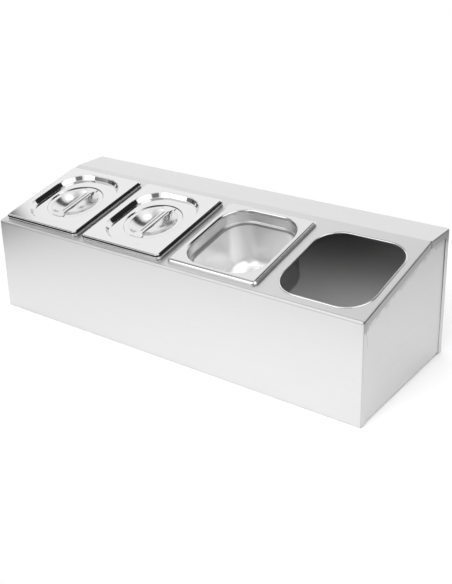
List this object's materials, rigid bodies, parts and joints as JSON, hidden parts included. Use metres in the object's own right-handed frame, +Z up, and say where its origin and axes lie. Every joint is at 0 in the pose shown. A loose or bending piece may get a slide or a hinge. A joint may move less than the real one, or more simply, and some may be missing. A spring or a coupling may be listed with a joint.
{
  "type": "countertop food pan stand",
  "caption": "Low sloping counter stand of folded stainless sheet that holds a row of lift-out food pans with recessed lift-off lids.",
  "frame": {"origin": "centre of the base, on the counter", "axes": "+X along the row of bays, from the bay with the first lid to the empty bay; +Y to the back, where the flat strip is; +Z up"},
  "size_m": [0.7, 0.262, 0.2103],
  "materials": {
    "stand_steel": "satin stainless sheet with a fine grain along the stand",
    "panel_steel": "satin stainless sheet",
    "pan_steel": "drawn stainless, satin inside, bright on the rim",
    "lid_steel": "pressed stainless, polished bright",
    "handle_steel": "pressed stainless strap, polished"
  },
  "bodies": {
    "stand": {"housing": "stand_steel", "end_panel_left": "panel_steel", "end_panel_right": "panel_steel"},
    "pan_1": {"pan_1": "pan_steel"},
    "pan_2": {"pan_2": "pan_steel"},
    "pan_3": {"pan_3": "pan_steel"},
    "lid_1": {"lid_1": "lid_steel", "lid_handle_1": "handle_steel"},
    "lid_2": {"lid_2": "lid_steel", "lid_handle_2": "handle_steel"}
  },
  "joints": [
    {"name": "pan_1_lift", "type": "slide", "parent": "stand", "child": "pan_1", "axis": [0, -0.2252, 0.9743], "range_m": [0, 0.13]},
    {"name": "pan_2_lift", "type": "slide", "parent": "stand", "child": "pan_2", "axis": [0, -0.2252, 0.9743], "range_m": [0, 0.13]},
    {"name": "pan_3_lift", "type": "slide", "parent": "stand", "child": "pan_3", "axis": [0, -0.2252, 0.9743], "range_m": [0, 0.13]},
    {"name": "lid_1_lift", "type": "slide", "parent": "pan_1", "child": "lid_1", "axis": [0, -0.2252, 0.9743], "range_m": [0, 0.06]},
    {"name": "lid_2_lift", "type": "slide", "parent": "pan_2", "child": "lid_2", "axis": [0, -0.2252, 0.9743], "range_m": [0, 0.06]}
  ]
}
